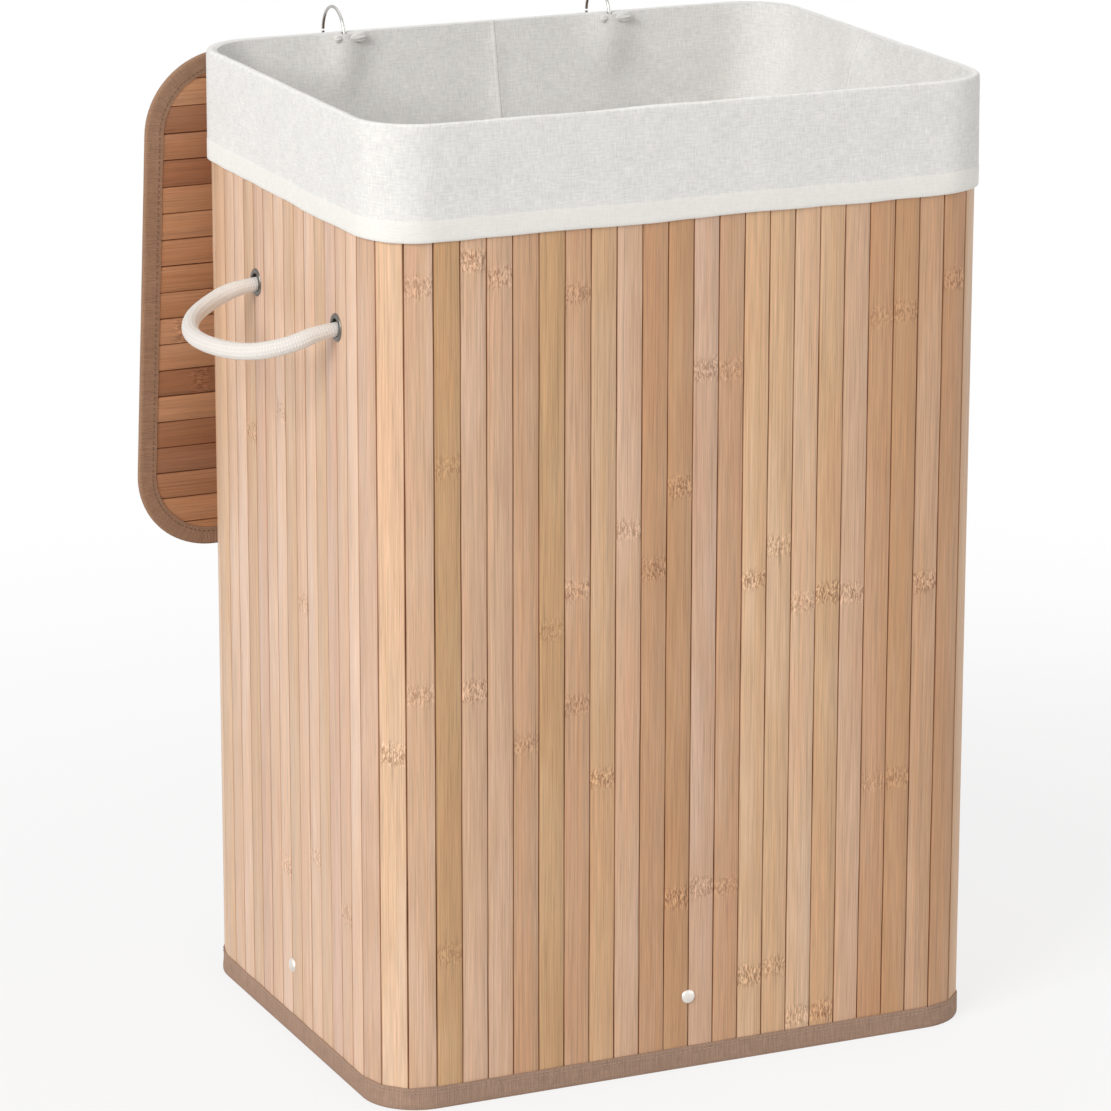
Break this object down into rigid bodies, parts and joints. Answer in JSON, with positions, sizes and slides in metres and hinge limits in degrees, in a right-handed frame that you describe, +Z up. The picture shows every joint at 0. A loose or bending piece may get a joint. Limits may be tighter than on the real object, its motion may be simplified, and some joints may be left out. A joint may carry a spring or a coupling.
{
  "type": "laundry hamper with lid",
  "caption": "Tall rounded-rectangular laundry hamper of upright bamboo slats with a cotton liner folded over the rim, rope side handles and a slatted lid hung on wire rings.",
  "frame": {"origin": "centre of the hamper's footprint, on the floor plane that its bottom tape stands on", "axes": "+X to the hamper's right seen from the front, +Y to the back where the lid hangs, +Z up"},
  "size_m": [0.4924, 0.3452, 0.6144],
  "materials": {
    "wall_bamboo": "matt lacquered bamboo, tone varies from slat to slat",
    "lid_bamboo": "matt lacquered bamboo",
    "edge_tape": "taupe woven tape, stitched",
    "backing_cloth": "plain woven backing cloth",
    "liner_cotton": "ivory plain-weave cotton with slubs",
    "cotton_rope": "white braided cotton",
    "eyelet_metal": "dark nickel",
    "rivet_metal": "satin",
    "ring_wire": "nickel plated wire",
    "base_board": "bare fibreboard"
  },
  "bodies": {
    "hamper": {"base_board": "base_board", "base_rivet_washers": "rivet_metal", "base_rivets": "rivet_metal", "base_tabs": "backing_cloth", "corner_slats_back_left": "wall_bamboo", "corner_slats_back_right": "wall_bamboo", "corner_slats_front_left": "wall_bamboo", "corner_slats_front_right": "wall_bamboo", "handle_eyelet_washers": "eyelet_metal", "handle_eyelets": "eyelet_metal", "handle_rope_ends_left": "cotton_rope", "handle_rope_ends_right": "cotton_rope", "liner": "liner_cotton", "ring_eyelet_washers": "eyelet_metal", "ring_eyelets": "eyelet_metal", "wall_backing": "backing_cloth", "wall_bottom_tape": "edge_tape", "wall_slats_back": "wall_bamboo", "wall_slats_front": "wall_bamboo", "wall_slats_left": "wall_bamboo", "wall_slats_right": "wall_bamboo", "wall_top_tape": "edge_tape"},
    "lid": {"lid_slats": "lid_bamboo", "lid_backing": "backing_cloth", "lid_tape": "edge_tape", "lid_eyelets": "eyelet_metal", "lid_eyelet_washers": "eyelet_metal", "hinge_rings": "ring_wire"},
    "handle_left": {"handle_rope_left": "cotton_rope"},
    "handle_right": {"handle_rope_right": "cotton_rope"}
  },
  "joints": [
    {"name": "lid_swing", "type": "hinge", "parent": "hamper", "child": "lid", "pos_m": [-0.011, 0.1613, 0.5955], "axis": [1, 0, 0], "range_deg": [-6, 263.5]},
    {"name": "handle_left_swing", "type": "hinge", "parent": "hamper", "child": "handle_left", "pos_m": [-0.2067, -0.019, 0.47], "axis": [0, 1, 0], "range_deg": [-68, 75]},
    {"name": "handle_right_swing", "type": "hinge", "parent": "hamper", "child": "handle_right", "pos_m": [0.2067, -0.019, 0.47], "axis": [0, -1, 0], "range_deg": [-8, 135]}
  ]
}
